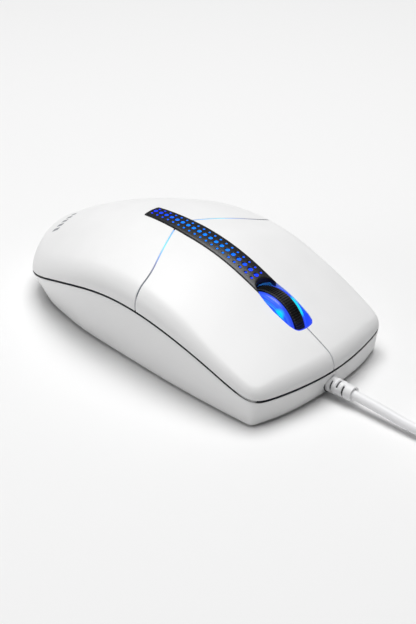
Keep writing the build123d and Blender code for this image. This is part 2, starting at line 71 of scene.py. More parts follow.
# %% Camera
AZIMUTH, ELEVATION = np.radians(133.066), np.radians(31.101)
DISTANCE = 468.463
TARGET = np.array([-2.573, 6.464, 5.808])
BACK = np.array([np.sin(AZIMUTH) * np.cos(ELEVATION), -np.cos(AZIMUTH) * np.cos(ELEVATION),
                 np.sin(ELEVATION)])
LENS, NEAREST, FURTHEST = 86.203, 0.01, 20   # focal length in mm, and what the camera sees, in metres
camera = bpy.data.objects.new("camera", bpy.data.cameras.new("camera"))
bpy.context.scene.collection.objects.link(camera)
camera.data.lens = LENS
camera.data.clip_start, camera.data.clip_end = NEAREST, FURTHEST
camera.location = (TARGET + DISTANCE * BACK) * MM
camera.rotation_mode = "QUATERNION"
Vector = type(camera.location)
camera.rotation_quaternion = (-Vector(BACK)).to_track_quat("-Z", "Y")
bpy.context.scene.camera = camera
print("camera at", [round(value, 3) for value in camera.location])

# %% [markdown]
# ## Finishes
#
# Each finish is one material. All of them start from the Principled shader, which takes a colour, a
# roughness and a bump. Moulded plastic is never perfectly even: its gloss drifts a little over a few
# millimetres, and the mould leaves a grain of a tenth of a millimetre. So one helper gives every
# plastic a slow noise on its colour and roughness, and a fine noise on its bump.


# %% A helper for finishes
class Finish:
    """A material with its Principled shader, and small steps for adding nodes to it."""

    def __init__(self, name, colour, roughness, **sockets):
        self.material = bpy.data.materials.new(name)
        self.material.use_nodes = True
        self.nodes = self.material.node_tree.nodes
        self.links = self.material.node_tree.links
        self.shader = self.nodes["Principled BSDF"]
        self.shader.inputs["Base Color"].default_value = (*colour, 1)
        self.shader.inputs["Roughness"].default_value = roughness
        for socket, value in sockets.items():
            self.shader.inputs[socket.replace("_", " ")].default_value = value
        self.place = self.nodes.new("ShaderNodeTexCoord").outputs["Object"]

    def noise(self, size_mm, detail=2.0, stretch=(1, 1, 1)):
        """Noise whose lumps are about size_mm across, longer along an axis with a small stretch."""
        turn = self.nodes.new("ShaderNodeMapping")
        turn.inputs["Scale"].default_value = stretch
        self.links.new(self.place, turn.inputs["Vector"])
        node = self.nodes.new("ShaderNodeTexNoise")
        node.inputs["Scale"].default_value = 1 / (size_mm * MM)
        node.inputs["Detail"].default_value = detail
        self.links.new(turn.outputs["Vector"], node.inputs["Vector"])
        return node.outputs["Fac"]

    def ramp(self, value, stops):
        """A colour that changes with value. stops are (position, colour) pairs."""
        node = self.nodes.new("ShaderNodeValToRGB")
        elements = node.color_ramp.elements
        while len(elements) < len(stops):
            elements.new(0.5)
        for element, (position, colour) in zip(elements, stops):
            element.position = position
            element.color = (*colour, 1)
        self.links.new(value, node.inputs["Fac"])
        return node.outputs["Color"]

    def spread(self, value, low, high, to_low, to_high):
        """value, moved from the range low..high to the range to_low..to_high."""
        node = self.nodes.new("ShaderNodeMapRange")
        for socket, number in zip(("From Min", "From Max", "To Min", "To Max"), (low, high, to_low, to_high)):
            node.inputs[socket].default_value = number
        self.links.new(value, node.inputs["Value"])
        return node.outputs["Result"]

    def feed(self, value, socket):
        """Joins a node's output to one of the shader's sockets."""
        self.links.new(value, self.shader.inputs[socket])

    def bump(self, value, depth_mm, strength=0.5):
        """Tilts the surface as if it rose and fell by depth_mm."""
        node = self.nodes.new("ShaderNodeBump")
        node.inputs["Distance"].default_value = depth_mm * MM
        node.inputs["Strength"].default_value = strength
        self.links.new(value, node.inputs["Height"])
        self.links.new(node.outputs["Normal"], self.shader.inputs["Normal"])


def moulded(name, colour, roughness, grain_mm=0.12, grain_depth=0.01, drift=0.03, **sockets):
    """Moulded plastic: colour and gloss drift slowly, and a fine grain catches the light."""
    finish = Finish(name, colour, roughness, **sockets)
    slow = finish.noise(9, detail=3)
    darker = tuple(channel * (1 - drift) for channel in colour)
    finish.feed(finish.ramp(slow, [(0.3, darker), (0.7, colour)]), "Base Color")
    finish.feed(finish.spread(slow, 0.3, 0.7, roughness * 0.92, roughness * 1.1), "Roughness")
    finish.bump(finish.noise(grain_mm, detail=1), grain_depth)
    return finish


# %% [markdown]
# ### Light that comes from inside
#
# The blue parts are clear plastic with lamps behind them. Tracing real light through them would be slow
# and grainy, so their surface gives off a little light of its own, and its colour depends on the place:
# azure next to the lamp and a deep blue or violet further away.


# %% Lit plastic
def lit(name, colour, axis, stops, strength, roughness=0.25, **sockets):
    """Clear plastic that glows. stops are (millimetres along the axis, colour) pairs."""
    finish = Finish(name, colour, roughness, **sockets)
    parts = finish.nodes.new("ShaderNodeSeparateXYZ")
    finish.links.new(finish.place, parts.inputs["Vector"])
    first, last = stops[0][0], stops[-1][0]
    share = finish.spread(parts.outputs[axis], first * MM, last * MM, 0, 1)
    finish.feed(finish.ramp(share, [((at - first) / (last - first), shade) for at, shade in stops]),
                "Emission Color")
    finish.shader.inputs["Emission Strength"].default_value = strength
    finish.bump(finish.noise(0.3), 0.02)
    return finish


print("helpers ready")

# %% [markdown]
# ### The shelf of finishes
#
# One finish for each material slot of the record, so that a piece only has to name its slot.

# %% Make the finishes
FINISH = {
    "white_shell": moulded("satin_white_plastic", (0.86, 0.86, 0.86), 0.46, 0.16, 0.006, 0.015),
    "grey_plastic": moulded("grey_plastic", (0.3, 0.31, 0.33), 0.45),
    "black_plastic": moulded("black_plastic", (0.03, 0.03, 0.035), 0.4),
    "plunger": moulded("red_plastic", (0.7, 0.09, 0.07), 0.35),
    "glide": moulded("slippery_grey_sheet", (0.16, 0.16, 0.17), 0.55, 0.3, 0.02),
    "cord_white": moulded("white_vinyl", (0.84, 0.84, 0.85), 0.42, 0.25, 0.02, 0.03),
    "tie": moulded("black_tie", (0.05, 0.05, 0.05), 0.6, 0.4, 0.05),
    "plug_plastic": moulded("white_plug_plastic", (0.82, 0.83, 0.84), 0.4, 0.3, 0.02),
    "capacitor_sleeve": moulded("blue_sleeve", (0.04, 0.06, 0.2), 0.25),
    "wheel_rubber": moulded("black_rubber", (0.004, 0.004, 0.005), 0.38, 0.15, 0.01, 0.3),
    "clear_lens": moulded("clear_plastic", (0.9, 0.93, 0.97), 0.08, Transmission_Weight=0.8),
}
AZURE, BLUE, DEEP, CYAN = (0.03, 0.42, 1.0), (0.01, 0.13, 1.0), (0.012, 0.03, 0.85), (0.0, 0.85, 1.0)
FINISH["lamp"] = lit("blue_lamp", (0.3, 0.5, 0.9), "Z", [(0, BLUE), (20, AZURE)], 3)
FINISH["sensor_lamp"] = lit("red_lamp", (0.8, 0.15, 0.1), "Z",
                            [(0, (0.9, 0.05, 0.03)), (20, (1, 0.1, 0.1))], 1)
FINISH["blue_acrylic"] = lit("lit_spine_plastic", (0.02, 0.08, 0.5), "Y",
                             [(-15, DEEP), (-4, BLUE), (5, AZURE), (14, AZURE), (22, BLUE), (31, DEEP)], 2.2)


def speckled_black():
    """Satin black: a scatter of very fine paler specks under an even sheen."""
    finish = moulded("satin_black", (0.010, 0.010, 0.012), 0.34, 0.1, 0.006)
    specks = finish.noise(0.16, detail=0)
    black, paler = (0.008, 0.008, 0.01), (0.05, 0.05, 0.055)
    finish.feed(finish.ramp(specks, [(0.62, black), (0.72, paler)]), "Base Color")
    return finish


def metal(name, colour, roughness, stretch):
    """Metal with fine drawn lines along one axis."""
    finish = Finish(name, colour, roughness, Metallic=1.0)
    lines = finish.noise(0.15, detail=1, stretch=stretch)
    finish.feed(finish.spread(lines, 0.3, 0.7, roughness * 0.7, roughness * 1.3), "Roughness")
    finish.bump(lines, 0.004)
    return finish


def solder_mask():
    """A circuit board's green lacquer, with copper tracks that show through as paler lines."""
    finish = moulded("green_board", (0.02, 0.16, 0.06), 0.35, 0.5, 0.01)
    tracks = finish.nodes.new("ShaderNodeTexBrick")
    tracks.inputs["Scale"].default_value = 1 / (6 * MM)
    tracks.inputs["Mortar Size"].default_value = 0.03
    tracks.inputs["Color1"].default_value = (0.015, 0.13, 0.05, 1)
    tracks.inputs["Color2"].default_value = (0.018, 0.15, 0.055, 1)
    tracks.inputs["Mortar"].default_value = (0.05, 0.28, 0.09, 1)
    finish.links.new(finish.place, tracks.inputs["Vector"])
    finish.feed(tracks.outputs["Color"], "Base Color")
    return finish


FINISH["black_strip"] = speckled_black()
FINISH["board"] = solder_mask()
FINISH["bright_metal"] = metal("plated_shell", (0.78, 0.79, 0.81), 0.22, (1, 0.1, 1))
FINISH["screw_steel"] = metal("plated_steel", (0.5, 0.5, 0.52), 0.3, (1, 1, 0.1))
FINISH["gold"] = metal("gold_plate", (0.85, 0.62, 0.22), 0.25, (1, 0.1, 1))


# %% [markdown]
# ### The glow of the wheel
#
# The wheel's clear discs have rings turned into their faces, and each ring catches the lamp. The colour
# therefore depends on the distance from the axle. Two cyan patches show where the lamp stands behind
# the plastic, one on the near disc and one on the rim of the far one. A patch is a distance to a point.

# %% Glow of the wheel
RINGS = [(0, BLUE), (0.3, (0.02, 0.1, 0.95)), (0.4, (0.07, 0.38, 0.95)), (0.48, (0.02, 0.12, 1.0)),
         (0.62, (0.05, 0.3, 1.0)), (0.7, (0.015, 0.07, 0.95)), (0.86, (0.05, 0.17, 1.0)),
         (1, (0.02, 0.04, 0.75))]
RINGS_FROM, RINGS_TO = 7.5, 11           # radii in mm
# Each patch is a point in mm from the axle, the radius up to which it is full, and where it is gone.
PATCHES = [((3.7, 5.7, 6.9), 1.0, 2.0), ((-3.2, 7.6, 8.0), 2.6, 3.8)]


def glowing_wheel():
    """Blue plastic discs: the colour is a ramp over sqrt(y^2 + z^2) from the axle, plus the patches."""
    finish = Finish("lit_wheel_plastic", (0.005, 0.03, 0.25), 0.3)
    low, high = box_mm("wheel_core")
    centre = (low + high) / 2
    turn = finish.nodes.new("ShaderNodeMapping")
    turn.inputs["Location"].default_value = (0, -centre[1] * MM, -centre[2] * MM)
    finish.links.new(finish.place, turn.inputs["Vector"])
    parts = finish.nodes.new("ShaderNodeSeparateXYZ")
    finish.links.new(turn.outputs["Vector"], parts.inputs["Vector"])
    flat = finish.nodes.new("ShaderNodeCombineXYZ")
    finish.links.new(parts.outputs["Y"], flat.inputs["Y"])
    finish.links.new(parts.outputs["Z"], flat.inputs["Z"])
    radius = finish.nodes.new("ShaderNodeVectorMath")
    radius.operation = "LENGTH"
    finish.links.new(flat.outputs["Vector"], radius.inputs[0])
    colour = finish.ramp(finish.spread(radius.outputs["Value"], RINGS_FROM * MM, RINGS_TO * MM, 0, 1), RINGS)
    for spot, full, gone in PATCHES:
        lamp = finish.nodes.new("ShaderNodeVectorMath")
        lamp.operation = "DISTANCE"
        lamp.inputs[1].default_value = [MM * part for part in spot]
        finish.links.new(turn.outputs["Vector"], lamp.inputs[0])
        near = finish.spread(lamp.outputs["Value"], full * MM, gone * MM, 1, 0)
        patch = finish.nodes.new("ShaderNodeMix")
        patch.data_type = "RGBA"
        mix_from, mix_to = [socket for socket in patch.inputs if socket.type == "RGBA"]
        finish.links.new(near, patch.inputs["Factor"])
        finish.links.new(colour, mix_from)
        mix_to.default_value = (*CYAN, 1)
        colour = next(socket for socket in patch.outputs if socket.type == "RGBA")
    finish.feed(colour, "Emission Color")
    finish.shader.inputs["Emission Strength"].default_value = 0.85
    finish.bump(finish.noise(0.5), 0.03)
    return finish


FINISH["wheel_acrylic"] = glowing_wheel()
for node in frame["record"]["subparts"]:
    for holder in frame["nodes"][node["node"]].material_slots:
        holder.material = FINISH[node["material_slot"]].material
print(len(FINISH), "finishes")

# %% [markdown]
# ## Two helpers that turn arrays into pieces
#
# A surface here is a grid: row i, column j, and a point for each. The faces of such a grid are always
# the same pattern of four neighbours, so they can be worked out once for any shape.


# %% Grids and pieces
def grid_faces(rows, columns, closed=False):
    """Face (i, j) joins the points (i, j), (i, j+1), (i+1, j+1), (i+1, j).

    closed joins the last column to the first."""
    i, j = np.meshgrid(np.arange(rows - 1), np.arange(columns if closed else columns - 1), indexing="ij")
    right = (j + 1) % columns
    corners = [i * columns + j, i * columns + right, (i + 1) * columns + right, (i + 1) * columns + j]
    return np.stack(corners, -1).reshape(-1, 4)


def joined(parts):
    """Several (points, faces) pairs as one pair."""
    points = [np.reshape(p, (-1, 3)) for p, _ in parts]
    starts = np.cumsum([0] + [len(p) for p in points[:-1]])
    return np.vstack(points), [list(face) for start, (_, faces) in zip(starts, parts)
                               for face in np.asarray(faces) + start]


def add_piece(name, points, faces, slot, body="housing", stands_for=(), up=None, crease=35):
    """Makes a mesh object from points in millimetres, merges its doubles, turns its faces outwards and
    gives it its body, slot and finish. up is a direction that an open surface faces on the whole."""
    mesh = bpy.data.meshes.new(name)
    mesh.from_pydata((np.reshape(points, (-1, 3)) * MM).tolist(), [], [list(map(int, f)) for f in faces])
    work = bmesh.new()
    work.from_mesh(mesh)
    bmesh.ops.remove_doubles(work, verts=work.verts, dist=1e-6)
    bmesh.ops.dissolve_degenerate(work, edges=work.edges, dist=1e-7)
    bmesh.ops.recalc_face_normals(work, faces=work.faces)
    if up is not None:
        total = sum((face.normal * face.calc_area() for face in work.faces), Vector())
        if total.dot(up) < 0:
            bmesh.ops.reverse_faces(work, faces=work.faces)
    work.to_mesh(mesh)
    work.free()
    mesh.shade_smooth()
    mesh.set_sharp_from_angle(angle=np.radians(crease))
    return settle(bpy.data.objects.new(name, mesh), slot, body, stands_for)


def settle(piece, slot, body, stands_for):
    """Puts a piece in the scene with its finish, body, slot and the CAD nodes that it stands for."""
    if piece.name not in bpy.context.scene.collection.objects:
        bpy.context.scene.collection.objects.link(piece)
    piece.data.materials.clear()
    piece.data.materials.append(FINISH[slot].material)
    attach(piece, body)
    if stands_for:
        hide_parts(*stands_for)
    return piece


def thicken(piece, wall, edge):
    """Gives a surface a wall inwards, and rounds the edges of the wall."""
    solid = piece.modifiers.new("wall", "SOLIDIFY")
    solid.thickness, solid.offset = wall * MM, -1
    solid.use_even_offset = False
    if edge:
        bevel = piece.modifiers.new("edge", "BEVEL")
        bevel.width, bevel.segments, bevel.limit_method = edge * MM, 2, "ANGLE"
        bevel.angle_limit = np.radians(60)
    return piece


# %% [markdown]
# ## The cord
#
# The cord is fixed before anything else, because it has to lie where the CAD says. It is one smooth
# line: a short run out of the strain relief, a neat coil of turns beside and on each other, and a tail
# to the plug. A NURBS spline needs only a few handles for the free runs. The turns are handles on
# circles, pushed outwards by 1/cos(pi/N) because the line passes inside its handles.

# %% The cord's line
CORD_D = 3.0
LEAD = [(0, 54.2, 3.9), (0, 71, 3.9), (0.3, 88.5, 2.4), (-0.9, 105, 2.1)]
TAIL = [(-1.0, 103.0, 11.0), (-0.5, 115.0, 10.9), (-4.4, 126.6, 9.8), (-14.9, 133.6, 8.2),
        (-28.2, 133.8, 6.6), (-40.2, 127.6, 5.0), (-47.4, 117.6, 4.1), (-49.0, 106.6, 4.0),
        (-49.0, 96.0, 4.0)]
COIL_X, COIL_Y = -22.0, 109.0
COIL_PITCH, COIL_LOW = 3.05, 2.1
COIL_RADII, COIL_LAYERS = (21.1, 18.05, 15.0), 4
HANDLES_A_TURN = 16
STEP_TURN = 45               # a change of radius or layer takes this many degrees
FIRST_STEP, LAST_RUN = 300, 260          # where in a turn the steps begin, and the last turn's length
COIL_TURNED = 6              # the whole coil is turned back by this, to meet the lead


def coil_stops():
    """The coil's plan: (angle in degrees, radius, height) where each change starts and ends.

    A turn keeps its radius, then steps to the next one over STEP_TURN degrees. At the end of a layer
    the cord climbs, one step earlier in the turn, so that it never meets the turn below."""
    stops, angle, sector = [(0, COIL_RADII[0], COIL_LOW)], 0, FIRST_STEP
    for layer in range(COIL_LAYERS):
        radii = COIL_RADII if layer % 2 == 0 else COIL_RADII[::-1]
        high = COIL_LOW + layer * COIL_PITCH
        for before, after in zip(radii, radii[1:]):
            angle = sector + 360 * ((angle - sector) // 360 + 1)
            stops += [(angle, before, high), (angle + STEP_TURN, after, high)]
        sector = sector - STEP_TURN
        if layer < COIL_LAYERS - 1:
            angle = sector + 360 * ((angle - sector) // 360 + 1)
            stops += [(angle, radii[-1], high), (angle + STEP_TURN, radii[-1], high + COIL_PITCH)]
        sector = sector - STEP_TURN
    return np.array(stops + [(angle + LAST_RUN, COIL_RADII[0], high)])


def coil_handles():
    """angle -> (x, y, z) on the circles of the plan, one handle every 360/HANDLES_A_TURN degrees."""
    stops = coil_stops()
    step = 360 / HANDLES_A_TURN
    angles = np.arange(step / 2, stops[-1][0], step)
    radius = np.interp(angles, stops[:, 0], stops[:, 1]) / np.cos(PI / HANDLES_A_TURN)
    high = np.interp(angles, stops[:, 0], stops[:, 2])
    turn = np.radians(angles - COIL_TURNED)
    return np.stack([COIL_X + radius * np.cos(turn), COIL_Y + radius * np.sin(turn), high], -1)


def cord_line():
    """The lead's, the coil's and the tail's handles as one open NURBS spline, with a round bevel."""
    handles = np.vstack([LEAD, coil_handles(), TAIL]) * MM
    curve = bpy.data.curves.new("cord", "CURVE")
    curve.dimensions = "3D"
    spline = curve.splines.new("NURBS")
    spline.points.add(len(handles) - 1)
    spline.points.foreach_set("co", np.hstack([handles, np.ones((len(handles), 1))]).ravel())
    spline.order_u = 3
    spline.use_endpoint_u = True
    spline.resolution_u = 6
    curve.bevel_depth = CORD_D / 2 * MM
    curve.bevel_resolution = 5
    curve.use_fill_caps = True
    length = np.linalg.norm(np.diff(handles, axis=0), axis=1).sum()
    print("cord:", len(handles), "handles,", round(length, 3), "m along them")
    return bpy.data.objects.new("cord", curve)


cord = settle(cord_line(), "cord_white", "housing", ("cord_lead", "cord_coil", "cord_tail"))

# %% [markdown]
# ## The body's curves
#
# The body is drawn with three kinds of curve, the same ones that the CAD uses. Two closed outlines give
# the widest line (the belt) and the footprint on the desk. Two side-view curves give the height of the
# top and of the seam between the top shell and the base. All are cubic B-splines: a row of handles,
# each pulling the curve towards it with a smooth weight.

# %% Outlines and heights
BELT = np.array([(11.9, -59.5), (24.4, -47.0), (28.8, -29.6), (30.8, -19.1), (30.9, -1.3),
                 (32.1, 26.6), (30.7, 51.3), (28.3, 53.4), (26.9, 55.3), (7.7, 59.2)])
SEAM = np.array([8.8, 5.1, 12.0, 19.7, 22.7, 20.7, 14.9, 4.7, 17.4])
CROWN = np.array([-0.7, 16.8, 28.3, 35.0, 35.5, 32.6, 22.8, 13.5, -2.9])
HANDLE_START, HANDLE_STEP = -80, 20      # the side-view handles stand this far apart along the length
CROSS_CURVE, CROSS_CURVE_REAR, HALF_LENGTH = 0.005, 0.024, 59.0
SHOULDER, WALL = 4.2, 2.0
GAP_ABOVE, GAP_BELOW = 0.5, 0.32         # from the seam to the top shell and to the base


def blend(t):
    """The four weights of a uniform cubic B-spline at t between 0 and 1."""
    return np.stack([(1 - t) ** 3, 3 * t ** 3 - 6 * t ** 2 + 4, -3 * t ** 3 + 3 * t ** 2 + 3 * t + 1,
                     t ** 3]) / 6


def outline(handles, steps=24):
    """The closed curve of the handles and their mirror image, from the rear centre round the right."""
    ring = np.vstack([handles, handles[::-1] * [-1, 1]])
    near = np.stack([np.roll(ring, 1 - k, axis=0) for k in range(4)])
    curve = np.einsum("ks,kid->isd", blend(np.arange(steps) / steps), near).reshape(-1, 2)
    return np.roll(curve, steps // 2, axis=0)


def inward_normals(curve):
    """The curve's running direction turned left by a right angle, which points inwards."""
    run = np.roll(curve, -1, axis=0) - np.roll(curve, 1, axis=0)
    return np.stack([-run[:, 1], run[:, 0]], -1) / np.linalg.norm(run, axis=1)[:, None]


def side_height(handles, y):
    """Height of a side-view curve: the four handles nearest to y, mixed by their weights."""
    u = (np.asarray(y, float) - HANDLE_START) / HANDLE_STEP
    i = np.clip(np.floor(u).astype(int), 1, len(handles) - 3)
    return sum(w * handles[i - 1 + k] for k, w in enumerate(blend(u - i)))


def crown(x, y):
    """Height of the top: the side-view curve, minus (c + c_rear * tail^4) * x^2."""
    tail = ((HALF_LENGTH - y) / (2 * HALF_LENGTH)) ** 4
    return side_height(CROWN, y) - (CROSS_CURVE + CROSS_CURVE_REAR * tail) * x ** 2


belt = outline(BELT)
print("belt:", len(belt), "points,", round(2 * belt[:, 0].max(), 1), "mm wide")


# %% [markdown]
# ## Splits in the top shell
#
# The top shell is three pieces: a palm cover and two buttons. The split between them starts at the
# middle and runs forwards as it runs outwards, bending back a little near the sides. Each piece is a
# sheet stretched between two curves seen from above: the belt outside, and the edge of the black strip
# or of the wheel's opening inside.

# %% Where the pieces part
SPLIT_Y, SPLIT_SLOPE, SPLIT_BEND, BEND_FROM = -3.2, 0.47, 0.02, 20.0
SPLIT_HALF, CENTRE_HALF = 0.25, 0.2
STRIP_REAR, STRIP_TIP, STRIP_NOTCH = -15.1, 33.0, 29.9
STRIP_HALF_REAR, STRIP_HALF, STRIP_TAPER_END = 3.15, 4.05, 4.0
STRIP_CLEAR = 0.12
SIDE_FROM = 20.0             # the belt is a side wall, not the tail, beyond this x
AT_ONCE = 4000               # points measured together, to save memory


def split_y(x):
    """Where the split lies at x: a slanted line, minus bend * (x - x0)^2 outside x0."""
    x = np.abs(x)
    return SPLIT_Y + SPLIT_SLOPE * x - SPLIT_BEND * np.maximum(0, x - BEND_FROM) ** 2


def strip_half(y):
    """Half the strip's width: a straight taper at the rear, then constant."""
    share = np.clip((y - STRIP_REAR) / (STRIP_TAPER_END - STRIP_REAR), 0, 1)
    return STRIP_HALF_REAR + (STRIP_HALF - STRIP_HALF_REAR) * share


def resample(path, count):
    """count points at equal steps along a path."""
    path = np.asarray(path, float)
    along = np.append(0, np.cumsum(np.linalg.norm(np.diff(path, axis=0), axis=1)))
    at = np.linspace(0, along[-1], count)
    return np.stack([np.interp(at, along, path[:, k]) for k in range(2)], -1)


def belt_run(side_gap, forwards, end_x=0.0):
    """The right half of the belt from the split, moved by side_gap, to the front or rear centre."""
    half = belt[:len(belt) // 2 + 1]
    ahead = half[:, 1] - split_y(half[:, 0]) - side_gap
    k = np.argmax((ahead[1:] > 0) & (ahead[:-1] <= 0) & (half[1:, 0] > SIDE_FROM))
    share = -ahead[k] / (ahead[k + 1] - ahead[k])
    start = half[k] + share * (half[k + 1] - half[k])
    run = half[k + 1:] if forwards else half[:k + 1][::-1]
    run = np.vstack([start, run])
    return run[run[:, 0] >= end_x] if end_x else run


def depth_inside(points):
    """Distance from each point to the belt, measured to its short straight steps."""
    step = np.roll(belt, -1, axis=0) - belt
    best = []
    for start in range(0, len(points), AT_ONCE):
        away = points[start:start + AT_ONCE, None] - belt
        share = np.clip((away * step).sum(-1) / (step ** 2).sum(-1), 0, 1)
        best.append(np.linalg.norm(away - share[..., None] * step, axis=-1).min(axis=1))
    return np.concatenate(best)


print("the split meets the strip at y =", round(float(split_y(strip_half(0))), 2))


# %% [markdown]
# ## The skin of the top shell
#
# Between the belt and the inner edge the skin is a ruled grid: each column is a straight line seen from
# above. Its height is the crown, minus a roll near the belt: at a distance d inside a shoulder of
# radius r the surface has dropped by r - sqrt(r^2 - (r - d)^2), a quarter circle. Below the quarter
# circle a wall goes straight down to the seam. Where the shoulder reaches the seam first, the palm
# cover's columns start a little further in, and a button's shoulder gets a smaller radius.

# %% Skin of the top shell
ROLL_ROWS, WALL_ROWS, TOP_ROWS = 12, 5, 34
FRONT_SHOULDER, TIGHTER_FROM, TIGHTER_OVER = 2.8, 34.0, 14.0
BENDING_SHARE = 0.2                      # this share of the columns bends to follow a split
UPRIGHT = 0.3                            # least height of a button's upright edge


def shoulder(y):
    """The rolled edge's radius: SHOULDER, easing to FRONT_SHOULDER by t^2 (3 - 2 t) near the front."""
    t = np.clip((y - TIGHTER_FROM) / TIGHTER_OVER, 0, 1)
    return SHOULDER + (FRONT_SHOULDER - SHOULDER) * t ** 2 * (3 - 2 * t)


def roll_drop(depth, r):
    """r - sqrt(r^2 - (r - d)^2) for d inside the shoulder's radius r, and 0 beyond it."""
    return r - np.sqrt(r ** 2 - np.clip(r - depth, 0, r) ** 2)


def top_skin(outer, inner, gap, cover=False):
    """The grid between the belt points outer and the edge points inner, one column for each pair.

    The first columns bend to stay gap ahead of the split, and so do the cover's last ones. A button's
    roll shrinks to the room above the seam, so its lower edge stays upright and clears the base."""
    columns = len(outer)
    seam = side_height(SEAM, outer[:, 1]) + GAP_ABOVE
    room = crown(*outer.T) - seam
    r = shoulder(outer[:, 1]) if cover else np.minimum(shoulder(outer[:, 1]), room - UPRIGHT)
    spare = np.clip(room, 0, r)
    start = np.where(spare < r, r - np.sqrt(np.clip(r ** 2 - (r - spare) ** 2, 0, None)), 0)
    across = inner - outer
    span = np.linalg.norm(across, axis=1)
    roll = (1 - np.cos(np.linspace(0, PI / 2, ROLL_ROWS)))[:, None] * r / span
    rest = np.linspace(0, 1, TOP_ROWS)[1:, None] * (1 - roll[-1]) + roll[-1]
    share = np.vstack([roll, rest])
    share = share + (1 - share) * (start / span) * (share < 1)
    plan = outer + share[..., None] * across
    fade = np.clip(1 - np.arange(columns) / columns / BENDING_SHARE, 0, 1) ** 2
    plan[..., 1] += fade * (split_y(plan[:, :1, 0]) + gap - plan[:, :1, 1])
    if cover:
        plan[..., 1] += fade[::-1] * (split_y(plan[:, -1:, 0]) + gap - plan[:, -1:, 1])
    depth = depth_inside(plan.reshape(-1, 2)).reshape(plan.shape[:2])
    depth[0, start == 0] = 0
    top = np.dstack([plan, crown(plan[..., 0], plan[..., 1]) - roll_drop(depth, r)])
    top[0, :, 2] = np.maximum(top[0, :, 2], seam)
    down = np.linspace(0, 1, WALL_ROWS)[:-1, None]
    level = seam + down * (top[0, :, 2] - seam)
    wall = np.dstack([np.broadcast_to(plan[0], (*level.shape, 2)), level])
    return np.vstack([wall, top])


print("shoulder:", SHOULDER, "mm, and", FRONT_SHOULDER, "mm at the front")


# %% [markdown]
# ### The palm cover
#
# One sheet runs from the right split round the tail to the left split. Its inner edge goes round the
# rear end of the black strip. Solidify gives the sheet its wall and Bevel softens its edges.

# %% The palm cover
COVER_COLUMNS, BUTTON_COLUMNS = 241, 221
SHEET_WALL, SHEET_BEVEL = 1.6, 0.12


def palm_cover():
    """A sheet from the right split round the tail to the left split, with a notch for the strip."""
    run = belt_run(-SPLIT_HALF, forwards=False)
    outer = resample(np.vstack([run, run[-2::-1] * [-1, 1]]), COVER_COLUMNS)
    rear = STRIP_REAR - STRIP_CLEAR
    x = strip_half(0) + STRIP_CLEAR
    edge = np.array([(x, split_y(x) - SPLIT_HALF), (strip_half(rear) + STRIP_CLEAR, rear)])
    inner = resample(np.vstack([edge, edge[::-1] * [-1, 1]]), COVER_COLUMNS)
    return top_skin(outer, inner, -SPLIT_HALF, cover=True)


skin = palm_cover()
cover = add_piece("palm_cover_skin", skin, grid_faces(*skin.shape[:2]), "white_shell",
                  stands_for=("palm_cover",), up=(0, 0, 1))
thicken(cover, SHEET_WALL, SHEET_BEVEL)
print("palm cover:", len(cover.data.polygons), "faces")

# %% [markdown]
# ### The buttons
#
# The right button is the same kind of sheet, from the front of the belt to the strip and to the opening
# for the wheel. The left one is its mirror image. Each rides on its own body, so it turns when pressed.

# %% The buttons
SLOT_REAR = 31.0
SLOT = np.array([(4.1, SLOT_REAR), (4.1, 33.0), (4.72, 36.3), (4.95, 39.5), (4.8, 42.5), (4.5, 45.4),
                 (3.9, 47.2), (3.1, 47.95), (2.2, 48.2), (1.1, 48.36), (CENTRE_HALF, 48.4)])


def right_button():
    """A sheet between the front of the belt and the inner edge: the strip, then the wheel's opening."""
    outer = resample(belt_run(SPLIT_HALF, forwards=True, end_x=CENTRE_HALF), BUTTON_COLUMNS)
    outer[-1, 0] = CENTRE_HALF
    x = strip_half(0) + STRIP_CLEAR
    y = np.array([split_y(x) + SPLIT_HALF, STRIP_TAPER_END, SLOT_REAR])
    edge = np.stack([strip_half(y) + STRIP_CLEAR, y], -1)
    inner = resample(np.vstack([edge[:-1], SLOT]), BUTTON_COLUMNS)
    return top_skin(outer, inner, SPLIT_HALF)


skin = right_button()
for side, key in ((1, "right"), (-1, "left")):
    button = add_piece(f"{key}_button_skin", skin * [side, 1, 1], grid_faces(*skin.shape[:2]), "white_shell",
                       f"{key}_key", (f"{key}_button",), up=(0, 0, 1))
    thicken(button, SHEET_WALL, SHEET_BEVEL)
print("buttons:", len(button.data.polygons), "faces each")

# %% [markdown]
# ## The base
#
# The base is a bowl. Its wall is ruled: a straight line from each point of the footprint to the matching
# point of the belt. A short profile carried round gives it a rounded lower edge, an upper edge and an
# inner wall. The floor, with its posts and screw holes, already has its shape in the CAD. Its mesh is
# loose triangles, so a merged copy is used, and only the copy's own wall is left out.

# %% The wall of the base
FOOTPRINT = np.array([(11.3, -54.9), (20.8, -43.8), (23.0, -33.2), (26.0, -21.2), (27.4, 0.2),
                      (29.2, 25.4), (28.9, 47.6), (28.8, 52.6), (27.0, 52.9), (14.8, 57.0)])
BASE_Z, FLOOR_TOP = 0.6, 2.4
LOWER_EDGE = [(0.6, 0), (0.22, 0.004), (0.05, 0.014)]    # a small radius, as (depth, t) pairs
WALL_STEPS, LOW_T, HIGH_T, INNER_LOW_T = 14, 0.03, 0.99, 0.1
footprint = outline(FOOTPRINT)


def base_wall():
    """foot + t (belt - foot), with the height from BASE_Z to the seam, moved inwards by a depth.

    A row is a (depth, t) pair: up the outside, over the upper edge, and down the inside."""
    top = side_height(SEAM, belt[:, 1]) - GAP_BELOW
    normal = inward_normals(footprint)
    rise = np.linspace(LOW_T, HIGH_T, WALL_STEPS)
    stops = LOWER_EDGE + [(0, t) for t in rise] + [(0.1, 1), (WALL, 1)]
    stops += [(WALL, t) for t in rise[::-3]] + [(WALL, INNER_LOW_T)]
    rows = []
    for depth, t in stops:
        plan = footprint + t * (belt - footprint) + depth * normal
        rows.append(np.column_stack([plan, BASE_Z + t * (top - BASE_Z)]))
    return np.stack(rows)


